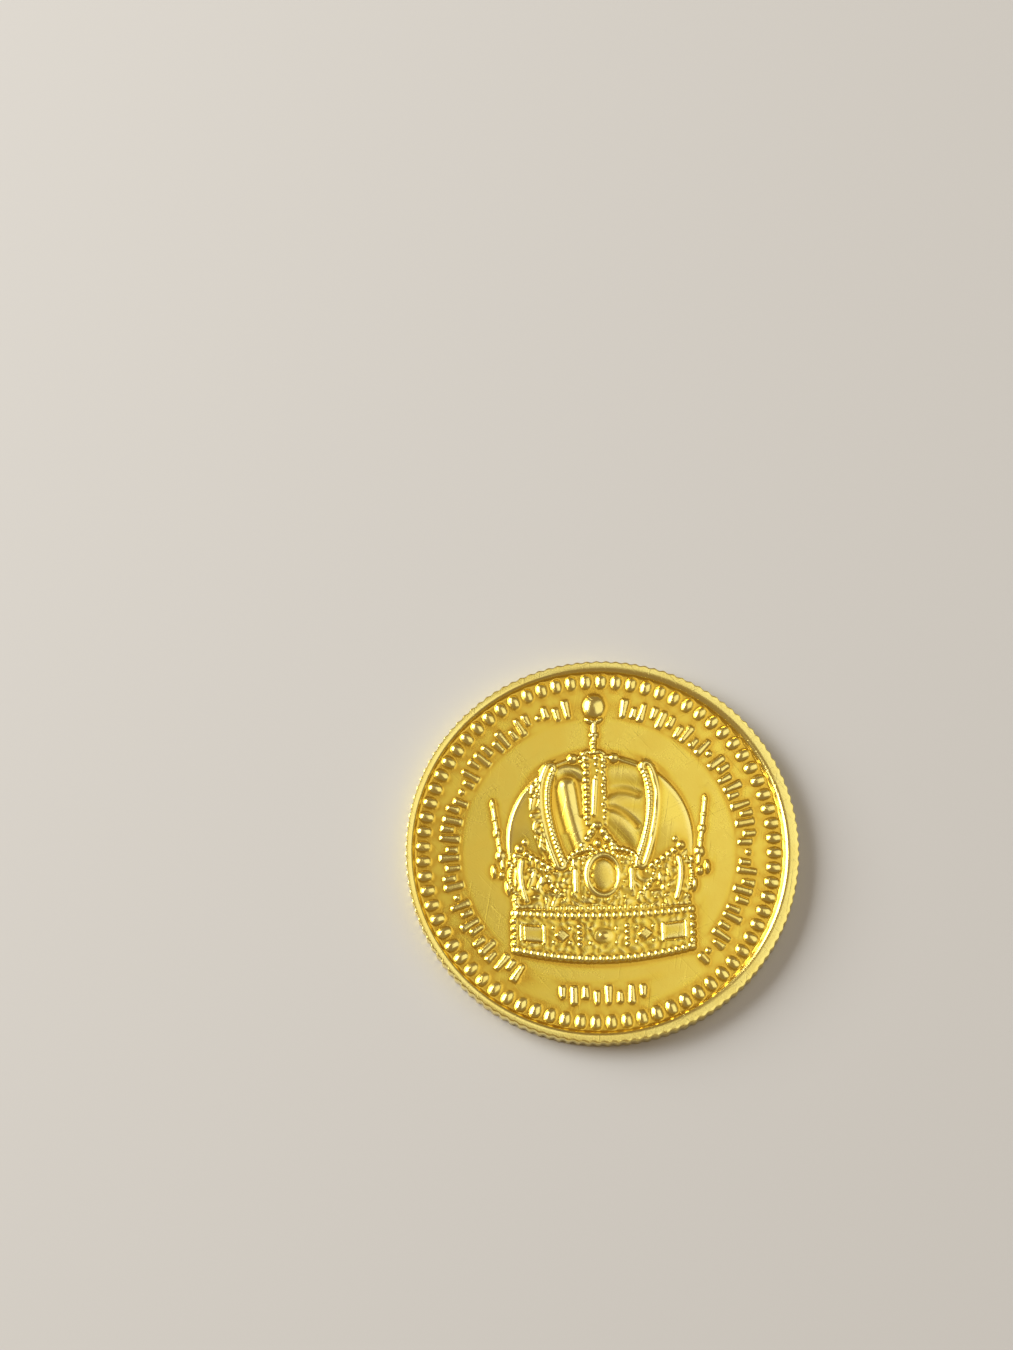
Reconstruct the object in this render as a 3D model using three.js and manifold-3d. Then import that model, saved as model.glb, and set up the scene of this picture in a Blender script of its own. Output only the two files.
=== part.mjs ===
// A struck gold coin: a reeded blank with a raised rim on both faces. The front carries a mitre crown
// inside a ring of shallow strokes and a ring of beads, the back a plain wreath round a rosette.
// The whole coin is one piece of metal. Millimetres, +Z up: the coin lies on its back rim at z = 0,
// its front looks up and +Y runs from its centre to the top of the crown.
import * as THREE from "three";
import { mergeVertices } from "three/addons/utils/BufferGeometryUtils.js";
import Module from "manifold-3d";

const wasm = await Module();
wasm.setup();

// ---- Driving dimensions, in millimetres ----
const DIAMETER = 20;
const THICKNESS = 1;
const REEDS = 124;
const REED_DEPTH = 0.07;
const FIELD_SEGMENTS = 72;
const SINK = 0.06; // how far raised details run down into the metal below the field
const BEVEL = 0.05; // the sloping edge of raised details

// The two dies. The front one struck a little off the blank's centre.
const FRONT = {
  side: 1,
  shift: [-0.16, 0.02],
  fieldDrop: 0.24, // from the rim's top down to the field
  fieldRadius: 9.36,
  rimRadius: 9.68, // where the rim's inner slope meets its flat top
};
const BACK = { side: -1, shift: [0, 0], fieldDrop: 0.18, fieldRadius: 9.26, rimRadius: 9.56 };
const BEADS = { count: 72, radius: 8.93, along: 0.4, across: 0.28, lift: 0.15 };

// The stroke ring: two rows that leave room for the crown's top stone, and a short line at its foot.
const STROKE = { inner: 7.12, outer: 8.08, thick: 0.32, lift: 0.12, step: 3.85 }; // step in degrees
const STROKE_ROWS = [{ from: -146, places: 36 }, { from: 11.5, places: 34 }];
// where each mark in turn starts and ends, as shares of the row's height
const MARKS = [[0, 1], [0.05, 0.64], [0, 1], [0.36, 1], [0, 0.97], [0.3, 0.95], [0, 0.7]];
const STOP = { every: 11, radius: 0.18 }; // every 11th place holds a round stop in place of a mark
const FOOT_LINE = { y: -7.5, places: 8, step: 0.58, length: 0.95 };

// The crown, measured from the front die's centre.
const CAP = { halfWidth: 4.8, springY: 0.5, topY: 5.05, footY: -3, lift: 0.06 };
const LOBE = { x: 3.8, y: 1.25, across: 0.92, along: 2.45, lean: 9, lift: 0.15 };
const LINING = { x: 1.45, y: 2.3, across: 0.8, along: 2.1, lean: 4, lift: 0.14 };
const BORDER = { topX: 2.4, midX: 2.8, footX: 2.05, topY: 4.3, midY: 2.2, footY: -0.75, lift: 0.18 };
const BORDER_WIDTH = 0.62;
const TRIM_OUT = 0.62; // from the border's middle out to the middle of the chased trim
const ARCH = { x: -0.1, halfWidth: 0.52, footY: 1.1, topY: 5, lift: 0.16, pearls: 7 };
const CROSS = { x: -0.2, y: 4.7, arm: 1.1, halfWidth: 0.13, footY: 4.1, topY: 5.5, lift: 0.19 };
const CROSS_PEARL = 0.28;
const STEM = { footY: 5.4, topY: 6.75, halfWidth: 0.1, knop: 0.26, cup: 0.36, lift: 0.12 };
const STONE = { y: 7.58, across: 0.58, along: 0.66, lift: 0.21 };
const GABLE = { x: -0.1, apexY: 1.25, footY: 0, halfWidth: 0.95, leg: 0.3, lift: 0.19 };
const PLATE = { x: 0.15, topY: -0.25, footY: -2.7, halfWidth: 1.35, lift: 0.12, post: 0.24 };
const GEM = { x: 0.1, y: -1.3, across: 0.6, along: 0.85, lift: 0.22, setting: 0.2 };
const LILY = { x: 4.05, footY: -2.75, topY: -0.15, pearl: 0.38, lift: 0.19 };
const MID_LILY = { x: 2.55, footY: -2.75, topY: -0.9, pearl: 0.26, lift: 0.17 };
const SPIKE = { topX: 5.4, footX: 4.95, topY: 2.6, footY: -0.8, thick: 0.14, lift: 0.1 };
const SPIKE_KNOBS = [
  { up: 1, across: 0.18, along: 0.32 },
  { up: 0.62, across: 0.22, along: 0.28 },
  { up: 0.22, across: 0.3, along: 0.55 },
];
const CIRCLET = { halfWidth: 4.6, topY: -3.05, footY: -5.15, sag: 0.5, lift: 0.11 };
const PEARL_ROW = { width: 0.36, lift: 0.18 }; // the ridges of pearls above and below the circlet
const BAND_PLATE = { halfWidth: 1.1, halfHeight: 0.55, lift: 0.16 };

// The back: a line inside the rim, a wreath of two branches and a rosette.
const BACK_LINE = { radius: 8.75, halfWidth: 0.22, lift: 0.1 };
const WREATH = { radius: 5.9, spread: 0.42, leaves: 10, from: 20, to: 165, lean: 24, lift: 0.11 };
const LEAF = { across: 0.45, along: 1.05 };
const ROSETTE = { petals: 8, reach: 1.5, across: 0.42, along: 0.95, boss: 0.55, lift: 0.11 };

const radius = DIAMETER / 2;
const radians = THREE.MathUtils.degToRad;

// ---- Solids ----

// A closed three.js geometry as a manifold-3d solid.
function toSolid(geometry) {
  geometry.deleteAttribute("normal");
  geometry.deleteAttribute("uv");
  const merged = mergeVertices(geometry, 1e-4);
  const mesh = new wasm.Mesh({
    numProp: 3,
    vertProperties: merged.attributes.position.array,
    triVerts: new Uint32Array(merged.index.array),
  });
  return new wasm.Manifold(mesh);
}

// A manifold-3d solid as a three.js geometry.
function toGeometry(solid) {
  const mesh = solid.getMesh();
  const geometry = new THREE.BufferGeometry();
  geometry.setAttribute("position", new THREE.BufferAttribute(mesh.vertProperties, 3));
  geometry.setIndex(new THREE.BufferAttribute(mesh.triVerts, 1));
  geometry.computeVertexNormals();
  return geometry;
}

// ---- Raised details, each made on a field at z = 0 ----

// The swelling top of an egg that lies half in the field: across, along and lift are its half sizes.
function dome(x, y, across, along, lift, lean = 0, sides = 6, rings = 3) {
  const egg = new THREE.SphereGeometry(1, sides, rings);
  egg.rotateX(Math.PI / 2);
  egg.scale(across, along, lift);
  egg.rotateZ(radians(lean));
  return egg.translate(x, y, 0);
}

// A flat outline raised from the field, with sloping edges.
function raised(outline, lift, curveSegments = 8) {
  const block = new THREE.ExtrudeGeometry(outline, {
    depth: SINK + lift - 2 * BEVEL,
    bevelThickness: BEVEL,
    bevelSize: BEVEL,
    bevelOffset: -BEVEL,
    bevelSegments: 1,
    curveSegments,
  });
  return block.translate(0, 0, BEVEL - SINK);
}

// A straight bar from one point to another.
function bar(fromX, fromY, toX, toY, thick, lift) {
  const length = Math.hypot(toX - fromX, toY - fromY);
  const block = new THREE.BoxGeometry(length, thick, SINK + lift);
  block.rotateZ(Math.atan2(toY - fromY, toX - fromX));
  return block.translate((fromX + toX) / 2, (fromY + toY) / 2, (lift - SINK) / 2);
}

function rectangle(left, bottom, right, top) {
  return new THREE.Shape([
    new THREE.Vector2(left, bottom),
    new THREE.Vector2(right, bottom),
    new THREE.Vector2(right, top),
    new THREE.Vector2(left, top),
  ]);
}

// A curve through a top, a middle and a foot point.
function bow(topX, topY, midX, midY, footX, footY) {
  const top = new THREE.Vector2(topX, topY);
  const foot = new THREE.Vector2(footX, footY);
  const pull = new THREE.Vector2(2 * midX - (topX + footX) / 2, 2 * midY - (topY + footY) / 2);
  return new THREE.QuadraticBezierCurve(top, pull, foot);
}

// The outline of a ribbon of even width along a flat curve.
function ribbon(curve, width, steps) {
  const left = [];
  const right = [];
  for (let i = 0; i <= steps; i++) {
    const at = curve.getPoint(i / steps);
    const out = curve.getTangent(i / steps).rotateAround(new THREE.Vector2(), Math.PI / 2);
    left.push(at.clone().addScaledVector(out, width / 2));
    right.unshift(at.clone().addScaledVector(out, -width / 2));
  }
  return new THREE.Shape([...left, ...right]);
}

// ---- The blank ----

// A round bar whose edge is cut into V-shaped reeds.
function reededBlank() {
  const points = [];
  for (let i = 0; i < 2 * REEDS; i++) {
    const angle = (Math.PI * i) / REEDS;
    const r = i % 2 ? radius - REED_DEPTH : radius;
    points.push(new THREE.Vector2(r * Math.cos(angle), r * Math.sin(angle)));
  }
  return new THREE.ExtrudeGeometry(new THREE.Shape(points), { depth: THICKNESS, bevelEnabled: false });
}

// What the die leaves out inside the rim: a shallow dish with sloping sides, open above the field.
function dish(die) {
  const over = 0.2;
  const slope = (die.rimRadius - die.fieldRadius) / die.fieldDrop;
  const profile = [
    new THREE.Vector2(0, 0),
    new THREE.Vector2(die.fieldRadius, 0),
    new THREE.Vector2(die.rimRadius + slope * over, die.fieldDrop + over),
    new THREE.Vector2(0, die.fieldDrop + over),
  ];
  return new THREE.LatheGeometry(profile, FIELD_SEGMENTS).rotateX(Math.PI / 2);
}

// ---- The front's border ----

function beadRing() {
  const beads = [];
  for (let i = 0; i < BEADS.count; i++) {
    const turn = (-2 * Math.PI * (i + 0.5)) / BEADS.count;
    beads.push(dome(0, BEADS.radius, BEADS.across, BEADS.along, BEADS.lift).rotateZ(turn));
  }
  return beads;
}

// One upright mark in a row that runs from base up to base + tall.
function mark(x, base, tall, i) {
  const [foot, head] = MARKS[i % MARKS.length];
  return bar(x, base + foot * tall, x, base + head * tall, STROKE.thick, STROKE.lift);
}

// Upright marks of several heights with round stops between, all radial, and no letters.
function strokeRing() {
  const { inner, outer, lift, step } = STROKE;
  const marks = [];
  for (const row of STROKE_ROWS) {
    for (let i = 0; i < row.places; i++) {
      const piece = i % STOP.every === STOP.every - 1
        ? dome(0, (inner + outer) / 2, STOP.radius, STOP.radius, lift)
        : mark(0, inner, outer - inner, i);
      marks.push(piece.rotateZ(radians(-row.from - i * step)));
    }
  }
  return marks;
}

// The short straight line of the same marks at the foot.
function footLine() {
  const { y, places, step, length } = FOOT_LINE;
  const marks = [];
  for (let i = 0; i < places; i++) {
    marks.push(mark((i - (places - 1) / 2) * step, y - length / 2, length, i + 3));
  }
  return marks;
}

// ---- The crown ----

// The cap: a round-headed ground, the swelling halves of the mitre and the lining between them.
function crownCap() {
  const ground = new THREE.Shape();
  ground.moveTo(CAP.halfWidth, CAP.springY);
  ground.absellipse(0, CAP.springY, CAP.halfWidth, CAP.topY - CAP.springY, 0, Math.PI, false, 0);
  ground.lineTo(-CIRCLET.halfWidth, CAP.footY);
  ground.lineTo(CIRCLET.halfWidth, CAP.footY);
  const pieces = [raised(ground, CAP.lift, 14)];
  for (const side of [-1, 1]) {
    for (const { x, y, across, along, lean, lift } of [LOBE, LINING]) {
      pieces.push(dome(side * x, y, across, along, lift, side * lean, 8, 5));
    }
  }
  return pieces;
}

// The mitre's two bowed borders, each with a narrow chased trim outside it.
function crownBorders() {
  const { topX, midX, footX, topY, midY, footY, lift } = BORDER;
  const pieces = [];
  for (const side of [-1, 1]) {
    const border = bow(side * topX, topY, side * midX, midY, side * footX, footY);
    const trim = bow(side * (topX + TRIM_OUT), topY - 0.4, side * (midX + TRIM_OUT), midY,
      side * (footX + TRIM_OUT), footY + 0.6);
    pieces.push(raised(ribbon(border, BORDER_WIDTH, 6), lift));
    pieces.push(raised(ribbon(trim, BORDER_WIDTH, 5), lift - BEVEL));
  }
  return pieces;
}

// The arch over the cap with its pearls, and the pearled cross on its top.
function crownArch() {
  const { x, halfWidth, footY, topY, lift, pearls } = ARCH;
  const pieces = [raised(rectangle(x - halfWidth, footY, x + halfWidth, topY), lift)];
  const step = (CROSS.footY - footY) / pearls;
  for (let i = 0; i < pearls; i++) {
    pieces.push(dome(x - halfWidth + 0.1, footY + (i + 0.5) * step, 0.22, 0.24, lift + 0.05));
  }
  const thick = 2 * CROSS.halfWidth;
  pieces.push(bar(CROSS.x - CROSS.arm, CROSS.y, CROSS.x + CROSS.arm, CROSS.y, thick, CROSS.lift));
  pieces.push(bar(CROSS.x, CROSS.footY, CROSS.x, CROSS.topY, thick, CROSS.lift + 0.01));
  for (const [pearlX, pearlY] of [[-CROSS.arm, CROSS.y], [CROSS.arm, CROSS.y], [0, CROSS.topY]]) {
    pieces.push(dome(CROSS.x + pearlX, pearlY, CROSS_PEARL, CROSS_PEARL, CROSS.lift + 0.03));
  }
  return pieces;
}

// The stone above the cross, in a small cup on a knopped stem.
function crownStone() {
  const { footY, topY, halfWidth, knop, cup, lift } = STEM;
  return [
    bar(0, footY, 0, topY, 2 * halfWidth, lift),
    dome(0, (footY + topY) / 2, knop, knop * 0.8, lift + 0.03),
    bar(-cup, topY, cup, topY, 0.3, lift + 0.02),
    dome(0, STONE.y, STONE.across, STONE.along, STONE.lift, 0, 10, 5),
  ];
}

// The high plate in the middle of the circlet, with its gable, its posts and its oval gem.
function crownPlate() {
  const { x, topY, footY, halfWidth, lift, post } = PLATE;
  const { across, along, setting } = GEM;
  const pieces = [
    raised(rectangle(x - halfWidth, footY, x + halfWidth, topY), lift),
    dome(GEM.x, GEM.y, across + setting, along + setting, GEM.lift - 0.04, 0, 8, 5),
    dome(GEM.x, GEM.y, across, along, GEM.lift, 0, 8, 5),
    dome(GABLE.x, (GABLE.apexY + GABLE.footY) / 3, 0.2, 0.34, GABLE.lift),
    bar(x - halfWidth - 0.4, 0, x + halfWidth + 0.1, 0, post, GABLE.lift - 0.02),
  ];
  for (const side of [-1, 1]) {
    const legX = GABLE.x + side * GABLE.halfWidth;
    const postX = x + side * (halfWidth - post / 2);
    pieces.push(bar(legX, GABLE.footY, GABLE.x, GABLE.apexY, GABLE.leg, GABLE.lift));
    pieces.push(bar(postX, footY + 0.4, postX, topY - 0.1, post, GABLE.lift - 0.01));
  }
  return pieces;
}

// A lily: an upright petal between two leaning ones, under a pearl, with a bar across its foot.
function lily(size, side) {
  const { footY, topY, pearl, lift } = size;
  const x = side * size.x;
  const tall = topY - footY;
  const middleY = footY + tall * 0.55;
  const barY = footY + tall * 0.18;
  return [
    dome(x, middleY, tall * 0.11, tall * 0.5, lift),
    dome(x + side * tall * 0.23, middleY, tall * 0.09, tall * 0.25, lift - 0.03, side * -18),
    dome(x - side * tall * 0.25, middleY, tall * 0.09, tall * 0.25, lift - 0.02, side * 18),
    dome(x + side * 0.05, topY + pearl * 0.9, pearl, pearl * 1.1, lift + 0.03),
    bar(x - tall * 0.23, barY, x + tall * 0.23, barY, 0.22, lift - 0.04),
  ];
}

// The lilies that stand on the circlet and the spikes seen edge-on at its two sides.
function crownLilies() {
  const { topX, footX, topY, footY, thick, lift } = SPIKE;
  const pieces = [];
  for (const side of [-1, 1]) {
    pieces.push(...lily(LILY, side));
    pieces.push(...lily(MID_LILY, side));
    pieces.push(bar(side * footX, footY, side * topX, topY, thick, lift));
    for (const { up, across, along } of SPIKE_KNOBS) {
      const x = side * (footX + (topX - footX) * up);
      pieces.push(dome(x, footY + (topY - footY) * up, across, along, lift + 0.06));
    }
    pieces.push(dome(side * (topX + 0.1), footY - 0.1, 0.19, 0.42, lift + 0.08));
  }
  return pieces;
}

// The circlet: a band whose foot sags in the middle, a ridge of pearls above and below, and plates.
function crownCirclet() {
  const { halfWidth, topY, footY, sag, lift } = CIRCLET;
  const { width } = PEARL_ROW;
  const outline = new THREE.Shape();
  outline.moveTo(-halfWidth, footY);
  outline.quadraticCurveTo(0, footY - 2 * sag, halfWidth, footY);
  outline.lineTo(halfWidth, topY);
  outline.lineTo(-halfWidth, topY);
  const half = halfWidth - 0.1;
  const upperY = topY - width / 2 - 0.05;
  const lowerY = footY + 0.1;
  const lowerRow = bow(-half, lowerY, 0, lowerY - sag, half, lowerY);
  const middleY = (upperY + lowerY - sag / 2) / 2;
  const low = middleY - BAND_PLATE.halfHeight;
  const high = middleY + BAND_PLATE.halfHeight;
  const plate = BAND_PLATE.halfWidth;
  const pieces = [
    raised(outline, lift),
    raised(rectangle(-half, upperY - width / 2, half, upperY + width / 2), PEARL_ROW.lift),
    raised(ribbon(lowerRow, width, 8), PEARL_ROW.lift),
    raised(rectangle(-plate, low, plate, high), BAND_PLATE.lift),
    dome(0, middleY, plate * 0.62, BAND_PLATE.halfHeight * 0.8, BAND_PLATE.lift + 0.05, 0, 8),
  ];
  for (const side of [-1, 1]) {
    const sidePlate = rectangle(side * 3.55 - 0.6, low + 0.1, side * 3.55 + 0.6, high - 0.05);
    pieces.push(bar(side * 1.72, low, side * 1.72, high, 0.3, BAND_PLATE.lift));
    pieces.push(dome(side * 2.38, middleY, 0.38, 0.38, BAND_PLATE.lift + 0.03));
    pieces.push(raised(sidePlate, BAND_PLATE.lift - 0.01));
    for (const y of [topY - 0.65, topY - 1.45]) {
      pieces.push(dome(side * halfWidth, y, 0.22, 0.26, PEARL_ROW.lift));
    }
  }
  return pieces;
}

// ---- The back ----

// A low ridge that follows the rim.
function backLine() {
  const { halfWidth, lift } = BACK_LINE;
  const section = [[-halfWidth, -SINK], [halfWidth, -SINK], [halfWidth, 0], [0, lift], [-halfWidth, 0]];
  const profile = [...section, section[0]]
    .map(([out, up]) => new THREE.Vector2(BACK_LINE.radius + out, up));
  return [new THREE.LatheGeometry(profile, FIELD_SEGMENTS).rotateX(Math.PI / 2)];
}

function wreath() {
  const { spread, from, to, lean, lift } = WREATH;
  const step = (to - from) / (WREATH.leaves - 1);
  const leaves = [];
  for (const side of [-1, 1]) {
    for (let i = 0; i < WREATH.leaves; i++) {
      const outward = i % 2 ? 1 : -1;
      const leaf = dome(0, WREATH.radius + outward * spread, LEAF.along, LEAF.across, lift,
        side * -outward * lean);
      leaves.push(leaf.rotateZ(radians(side * (from + i * step))));
    }
  }
  return leaves;
}

function rosette() {
  const { reach, across, along, boss, lift } = ROSETTE;
  const pieces = [dome(0, 0, boss, boss, lift + 0.03, 0, 8)];
  for (let i = 0; i < ROSETTE.petals; i++) {
    const petal = dome(reach, 0, along, across, lift);
    pieces.push(petal.rotateZ((2 * Math.PI * (i + 0.5)) / ROSETTE.petals));
  }
  return pieces;
}

// ---- Striking: a die's dish is cut from its face, and its details stand on the field it leaves ----

function strike(blank, die, details) {
  const toFace = new THREE.Matrix4();
  if (die.side > 0) {
    toFace.makeTranslation(die.shift[0], die.shift[1], THICKNESS - die.fieldDrop);
  } else {
    toFace.makeRotationX(Math.PI).setPosition(die.shift[0], die.shift[1], die.fieldDrop);
  }
  let struck = blank.subtract(toSolid(dish(die).applyMatrix4(toFace)));
  for (const detail of details) {
    struck = struck.add(toSolid(detail.applyMatrix4(toFace)));
  }
  return struck;
}

const frontDetails = [
  ...beadRing(),
  ...strokeRing(),
  ...footLine(),
  ...crownCap(),
  ...crownBorders(),
  ...crownArch(),
  ...crownStone(),
  ...crownPlate(),
  ...crownLilies(),
  ...crownCirclet(),
];
const frontStruck = strike(toSolid(reededBlank()), FRONT, frontDetails);
const bothStruck = strike(frontStruck, BACK, [...backLine(), ...wreath(), ...rosette()]);

const gold = new THREE.MeshStandardMaterial({ color: 0xe3c850, roughness: 0.38, metalness: 1 });
const coin = new THREE.Mesh(toGeometry(bothStruck), gold);
coin.name = "coin";

const group = new THREE.Group();
group.add(coin);
export default group;
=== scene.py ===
import math

import bpy
import numpy as np
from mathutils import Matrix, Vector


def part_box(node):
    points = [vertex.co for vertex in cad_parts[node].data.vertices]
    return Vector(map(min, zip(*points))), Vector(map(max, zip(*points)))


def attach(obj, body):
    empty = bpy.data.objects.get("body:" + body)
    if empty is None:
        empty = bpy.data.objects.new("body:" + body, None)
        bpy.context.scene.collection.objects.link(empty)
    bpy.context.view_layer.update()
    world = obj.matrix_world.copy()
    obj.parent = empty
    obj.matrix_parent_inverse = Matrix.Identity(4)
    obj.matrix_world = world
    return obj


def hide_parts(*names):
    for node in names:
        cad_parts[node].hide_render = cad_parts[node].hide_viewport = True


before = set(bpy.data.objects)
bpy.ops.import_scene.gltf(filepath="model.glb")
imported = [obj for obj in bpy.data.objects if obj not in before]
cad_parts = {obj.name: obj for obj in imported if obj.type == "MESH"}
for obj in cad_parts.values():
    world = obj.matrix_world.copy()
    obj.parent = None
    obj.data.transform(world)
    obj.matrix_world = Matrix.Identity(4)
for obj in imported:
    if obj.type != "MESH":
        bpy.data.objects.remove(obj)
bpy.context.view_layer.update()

# ---------------------------------------------------------------------------------------------
# The table, the light and the camera. The coin lies on a plain pale table under a broad soft light
# on its right, a lower and brighter one on its left behind, and dim warm surroundings.
# ---------------------------------------------------------------------------------------------
TABLE_WIDTH = 1.6
TABLE_COLOUR = (0.56, 0.55, 0.54, 1)
TABLE_ROUGHNESS = 0.8
SURROUNDINGS = (0.275, 0.2, 0.13, 1)
CAMERA_PLACE = (-0.0038, -0.04383, 0.17323)
CAMERA_TURN = (17.15, 0.68, -1.29)    # degrees about X, Y and Z
CAMERA_LENS = 93.3
CAMERA_NEAR = 0.005
# name: place, width, power in watts, colour
LIGHTS = {
    "side_window": ((-0.33, 0.15, 0.20), 0.30, 2.75, (0.98, 0.99, 0.96)),
    "soft_ceiling": ((0.17, 0.05, 0.29), 0.36, 0.34, (0.94, 1.0, 1.0)),
}


def plain_material(name, colour, roughness):
    """A principled surface of one colour and roughness, to which a section adds its own pattern."""
    material = bpy.data.materials.new(name)
    material.use_nodes = True
    shader = material.node_tree.nodes["Principled BSDF"]
    shader.inputs["Base Color"].default_value = colour
    shader.inputs["Roughness"].default_value = roughness
    return material, shader


bpy.ops.mesh.primitive_plane_add(size=TABLE_WIDTH)
table = bpy.context.object
table.name = "table"
table.data.materials.append(plain_material("pale table", TABLE_COLOUR, TABLE_ROUGHNESS)[0])

world = bpy.data.worlds.new("surroundings")
world.use_nodes = True
world.node_tree.nodes["Background"].inputs["Color"].default_value = SURROUNDINGS
bpy.context.scene.world = world

for light_name, (place, width, power, colour) in LIGHTS.items():
    light = bpy.data.lights.new(light_name, "AREA")
    light.size = width
    light.energy = power
    light.color = colour
    lamp = bpy.data.objects.new(light_name, light)
    lamp.location = place
    lamp.rotation_euler = (-lamp.location).to_track_quat("-Z", "Y").to_euler()
    bpy.context.collection.objects.link(lamp)

camera_data = bpy.data.cameras.new("camera")
camera_data.lens = CAMERA_LENS
camera_data.clip_start = CAMERA_NEAR
camera = bpy.data.objects.new("camera", camera_data)
camera.location = CAMERA_PLACE
camera.rotation_euler = [math.radians(turn) for turn in CAMERA_TURN]
bpy.context.collection.objects.link(camera)
bpy.context.scene.camera = camera
bpy.context.scene.view_settings.view_transform = "Standard"

# ---------------------------------------------------------------------------------------------
# The blank: a round disc cut from rolled gold alloy, and squeezed in a reeded collar while both
# dies strike it. Sizes are millimetres up to the mesh, and the disc's own come from the frame.
# ---------------------------------------------------------------------------------------------
METRES = 0.001
corner_low, corner_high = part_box("coin")
RADIUS = (corner_high.x - corner_low.x) / 2 / METRES
THICKNESS = corner_high.z / METRES
REEDS = 124
REED_DEPTH = 0.07
EDGE_ROUND = 0.045    # how far the collar's corners are rounded
MIDDLE_ROUND = 0.3 * EDGE_ROUND    # how far inside the edge the middle of the rounding lies
FRONT_SHIFT = (-0.16, 0.02)
FRONT_DROP = 0.24
FRONT_FIELD = 9.36
FRONT_SLOPE = 0.24    # width of the rim's steep inner side
FRONT_RIM = 9.8
BACK_DROP = 0.18
BACK_FIELD = 9.26
BACK_RIM = 9.56


def outline(turn):
    """The reeded edge: the radius less the reed depth times sin^2 of half the reeds times turn."""
    return RADIUS - REED_DEPTH * np.sin(REEDS / 2 * turn) ** 2


# ---------------------------------------------------------------------------------------------
# The front's border, in the same gold: a ring of oval beads inside the rim, and inside them a ring
# of shallow upright strokes with round stops, with a short straight line of them at the foot.
# ---------------------------------------------------------------------------------------------
BEADS = 72
BEAD_RADIUS = 8.93
BEAD_ACROSS = 0.28
BEAD_ALONG = 0.4
BEAD_LIFT = 0.14
STROKE_INNER = 7.12
STROKE_OUTER = 8.08
STROKE_LIFT = 0.11
STROKE_STEP = 3.85    # degrees from one place to the next
STROKE_ROWS = ((-146, 36), (11.5, 34))    # first place in degrees clockwise from the top, and places
# the marks in turn: foot and head as shares of the row's height, half width at foot and at head
MARKS = np.array((
    (0, 1, 0.15, 0.22), (0.05, 0.64, 0.19, 0.14), (0, 1, 0.21, 0.14), (0.36, 1, 0.14, 0.21),
    (0, 0.97, 0.2, 0.2), (0.3, 0.95, 0.21, 0.15), (0, 0.7, 0.14, 0.2),
))
STROKE_SWAY = 0.05    # how far a mark stands off its place
STROKE_END = 0.12     # length of a mark's rounded end
END_SHARE = 0.1       # what an end takes of the row's height
STOP_EVERY = 11
STOP_RADIUS = 0.16
FOOT_Y = -7.5
FOOT_PLACES = 8
FOOT_STEP = 0.58
FOOT_LENGTH = 0.95


def round_top(share, lift, power=0.6):
    """lift (1 - share)^power inside share 1, and a steep straight fall outside it."""
    room = 1 - share
    return lift * np.where(room > 0, np.abs(room) ** power, np.maximum(2 * room, -3))


def beads(x, y):
    """Ovals round a circle. Each point is turned back to the nearest bead's own frame, where share is
    |sideways offset / across|^2.3 + |distance from the circle / along|^2.3."""
    pitch = 2 * np.pi / BEADS
    clock = np.arctan2(x, y)
    off = (np.mod(clock, pitch) - pitch / 2) * BEAD_RADIUS
    out = np.hypot(x, y) - BEAD_RADIUS
    share = np.abs(off / BEAD_ACROSS) ** 2.3 + np.abs(out / BEAD_ALONG) ** 2.3
    return round_top(share, BEAD_LIFT, 0.75)


def stroke(u, v, kind, foot, tall):
    """One upright mark, a wedge with round ends: share is |sideways offset / half|^2.6 + |distance
    beyond its straight part / length of its end|^2.6. Half runs evenly from its foot's to its head's."""
    low, high, foot_half, head_half = MARKS[kind].T
    held = np.clip((v - foot) / tall, low + END_SHARE, high - END_SHARE)
    part = (held - low) / (high - low)
    half = foot_half + (head_half - foot_half) * part
    share = np.abs(u / half) ** 2.6 + np.abs((v - foot - held * tall) / STROKE_END) ** 2.6
    return round_top(share, STROKE_LIFT, 0.7)


def stroke_ring(x, y):
    """The rows of marks: each point is turned to the nearest place of its row. The marks stand a
    little off their places in turn, and a round stop stands at each eleventh place."""
    clock = np.degrees(np.arctan2(x, y))
    far = np.hypot(x, y)
    height = np.full_like(x, -1.0)
    tall = STROKE_OUTER - STROKE_INNER
    middle = (STROKE_INNER + STROKE_OUTER) / 2
    for first, places in STROKE_ROWS:
        place = np.round((clock - first) / STROKE_STEP)
        turn = np.radians(clock - first - place * STROKE_STEP)
        in_row = (place >= 0) & (place < places)
        u = far * np.sin(turn) - STROKE_SWAY * np.sin(place * 2.4)
        v = far * np.cos(turn)
        mark = stroke(u, v, np.mod(place, len(MARKS)).astype(int), STROKE_INNER, tall)
        stop = round_top(np.hypot(u, v - middle) ** 2 / STOP_RADIUS**2, STROKE_LIFT)
        here = np.where(np.mod(place, STOP_EVERY) == STOP_EVERY - 1, stop, mark)
        height = np.where(in_row, here, height)
    return height


def foot_line(x, y):
    """The short straight line of the same marks."""
    height = np.full_like(x, -1.0)
    for place in range(FOOT_PLACES):
        across = (place - (FOOT_PLACES - 1) / 2) * FOOT_STEP
        mark = stroke(x - across, y, (place + 3) % len(MARKS), FOOT_Y - FOOT_LENGTH / 2, FOOT_LENGTH)
        height = np.maximum(height, mark)
    return height


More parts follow.
